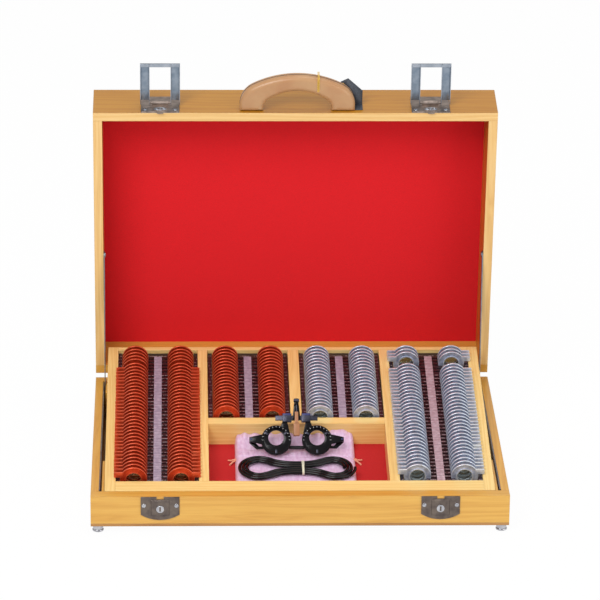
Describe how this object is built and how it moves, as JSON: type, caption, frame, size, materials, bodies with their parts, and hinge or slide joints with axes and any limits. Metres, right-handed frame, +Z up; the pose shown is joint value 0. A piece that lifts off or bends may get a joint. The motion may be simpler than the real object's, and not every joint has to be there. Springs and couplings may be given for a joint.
{
  "type": "trial lens case",
  "caption": "Wooden carrying case standing open, with an inclined tray of rimmed trial lenses in slotted racks, an accessory compartment and a hinged felt-lined lid.",
  "frame": {"origin": "middle of the open case's footprint, on the plane under its feet", "axes": "+X to the right seen from the front, +Y to the rear, +Z up"},
  "size_m": [0.58, 0.5112, 0.5521],
  "materials": {
    "case_wood": "clear lacquered pine",
    "tray_wood": "clear lacquered pine",
    "red_felt": "short pile flocked felt",
    "orange_rims": "anodised orange",
    "grey_rims": "anodised grey",
    "rack_plastic": "moulded black",
    "strip_card": "printed card",
    "nickel": "dark nickel plate",
    "hinge_steel": "nickel plated steel",
    "hasp_steel": "nickel plated steel",
    "handle_plastic": "moulded",
    "tag_card": "folded dark card",
    "pouch_satin": "satin",
    "cord_rubber": "glossy",
    "tie_thread": "white thread",
    "frame_black": "gloss black",
    "frame_nickel": "polished",
    "nose_plastic": "moulded"
  },
  "bodies": {
    "base": {"base_bottom": "case_wood", "base_front_wall": "case_wood", "base_rear_wall": "case_wood", "base_side_left": "case_wood", "base_side_right": "case_wood", "compartment_felt": "red_felt", "cord_tie": "tie_thread", "feet": "nickel", "hinge_base_leaves": "hinge_steel", "lens_cord": "cord_rubber", "lens_racks": "rack_plastic", "lens_rows_left": "orange_rims", "lens_rows_mid_left": "orange_rims", "lens_rows_mid_right": "grey_rims", "lens_rows_right": "grey_rims", "lock_plates": "nickel", "lock_screws": "nickel", "pouch": "pouch_satin", "power_strips": "strip_card", "slot_fillers": "case_wood", "stay_tracks": "hinge_steel", "tray_cross_panel": "tray_wood", "tray_dividers": "tray_wood", "tray_floor": "tray_wood", "tray_front_rail": "tray_wood", "tray_rear_rail": "tray_wood", "tray_sides": "tray_wood"},
    "lid": {"lid_front_wall": "case_wood", "lid_rear_wall": "case_wood", "lid_side_left": "case_wood", "lid_side_right": "case_wood", "lid_panel": "case_wood", "lid_felt": "red_felt", "hinge_lid_leaves": "hinge_steel", "latch_plates": "hasp_steel", "handle": "handle_plastic", "handle_tag": "tag_card", "stay_rivets": "hinge_steel"},
    "hasp_left": {"latch_hasp_left": "hasp_steel"},
    "hasp_right": {"latch_hasp_right": "hasp_steel"},
    "stay_left": {"stay_bar_left": "hinge_steel"},
    "stay_right": {"stay_bar_right": "hinge_steel"},
    "lock_left": {"lock_cylinder_left": "nickel"},
    "lock_right": {"lock_cylinder_right": "nickel"},
    "lens_1": {"front_lens_1": "orange_rims"},
    "lens_2": {"front_lens_2": "orange_rims"},
    "lens_3": {"front_lens_3": "orange_rims"},
    "lens_4": {"front_lens_4": "orange_rims"},
    "lens_5": {"front_lens_5": "grey_rims"},
    "lens_6": {"front_lens_6": "grey_rims"},
    "lens_7": {"front_lens_7": "grey_rims"},
    "lens_8": {"front_lens_8": "grey_rims"},
    "trial_frame": {"trial_frame_bar": "frame_nickel"},
    "trial_left": {"trial_cell_left": "frame_black", "trial_temple_left": "frame_black"},
    "trial_right": {"trial_cell_right": "frame_black", "trial_temple_right": "frame_black"},
    "nose_rest": {"trial_nose_rest": "nose_plastic"},
    "knob": {"trial_knob": "frame_nickel"}
  },
  "joints": [
    {"name": "lid_hinge", "type": "hinge", "parent": "base", "child": "lid", "pos_m": [0, 0.17979, 0.055], "axis": [-1, 0, 0], "range_deg": [-83, 0]},
    {"name": "stay_left", "type": "hinge", "parent": "lid", "child": "stay_left", "pos_m": [-0.276, 0.16139, 0.25415], "axis": [-1, 0, 0], "range_deg": [0, 166]},
    {"name": "hasp_left", "type": "hinge", "parent": "lid", "child": "hasp_left", "pos_m": [-0.194, 0.15141, 0.49129], "axis": [-1, 0, 0], "range_deg": [-90, 0]},
    {"name": "lock_left", "type": "hinge", "parent": "base", "child": "lock_left", "pos_m": [-0.194, -0.25221, 0.037], "axis": [0, -1, 0], "range_deg": [0, 90]},
    {"name": "stay_right", "type": "hinge", "parent": "lid", "child": "stay_right", "pos_m": [0.276, 0.16139, 0.25415], "axis": [-1, 0, 0], "range_deg": [0, 166]},
    {"name": "hasp_right", "type": "hinge", "parent": "lid", "child": "hasp_right", "pos_m": [0.194, 0.15141, 0.49129], "axis": [-1, 0, 0], "range_deg": [-90, 0]},
    {"name": "lock_right", "type": "hinge", "parent": "base", "child": "lock_right", "pos_m": [0.194, -0.25221, 0.037], "axis": [0, -1, 0], "range_deg": [0, 90]},
    {"name": "lens_lift_1", "type": "slide", "parent": "base", "child": "lens_1", "axis": [0, -0.1364, 0.9907], "range_m": [0, 0.028]},
    {"name": "lens_lift_2", "type": "slide", "parent": "base", "child": "lens_2", "axis": [0, -0.1364, 0.9907], "range_m": [0, 0.028]},
    {"name": "lens_lift_3", "type": "slide", "parent": "base", "child": "lens_3", "axis": [0, -0.1364, 0.9907], "range_m": [0, 0.028]},
    {"name": "lens_lift_4", "type": "slide", "parent": "base", "child": "lens_4", "axis": [0, -0.1364, 0.9907], "range_m": [0, 0.028]},
    {"name": "lens_lift_5", "type": "slide", "parent": "base", "child": "lens_5", "axis": [0, -0.1364, 0.9907], "range_m": [0, 0.028]},
    {"name": "lens_lift_6", "type": "slide", "parent": "base", "child": "lens_6", "axis": [0, -0.1364, 0.9907], "range_m": [0, 0.028]},
    {"name": "lens_lift_7", "type": "slide", "parent": "base", "child": "lens_7", "axis": [0, -0.1364, 0.9907], "range_m": [0, 0.028]},
    {"name": "lens_lift_8", "type": "slide", "parent": "base", "child": "lens_8", "axis": [0, -0.1364, 0.9907], "range_m": [0, 0.028]},
    {"name": "trial_frame_lift", "type": "slide", "parent": "base", "child": "trial_frame", "axis": [0, -0.1364, 0.9907], "range_m": [0, 0.06]},
    {"name": "pupil_distance_left", "type": "slide", "parent": "trial_frame", "child": "trial_left", "axis": [-1, 0, 0], "range_m": [0, 0.007]},
    {"name": "pupil_distance_right", "type": "slide", "parent": "trial_frame", "child": "trial_right", "axis": [1, 0, 0], "range_m": [0, 0.007]},
    {"name": "nose_rest_slide", "type": "slide", "parent": "trial_frame", "child": "nose_rest", "axis": [0, 0.604, 0.797], "range_m": [-0.005, 0.005]},
    {"name": "nose_screw", "type": "hinge", "parent": "trial_frame", "child": "knob", "pos_m": [-0.001, -0.06262, 0.11531], "axis": [0, 0.604, 0.797], "range_deg": [-720, 720]}
  ],
  "couplings": [
    {"joint": "stay_left", "follows": "lid_hinge", "ratio": -2},
    {"joint": "stay_right", "follows": "lid_hinge", "ratio": -2},
    {"joint": "nose_screw", "follows": "nose_rest_slide", "rad_per_m": 2513.3}
  ]
}
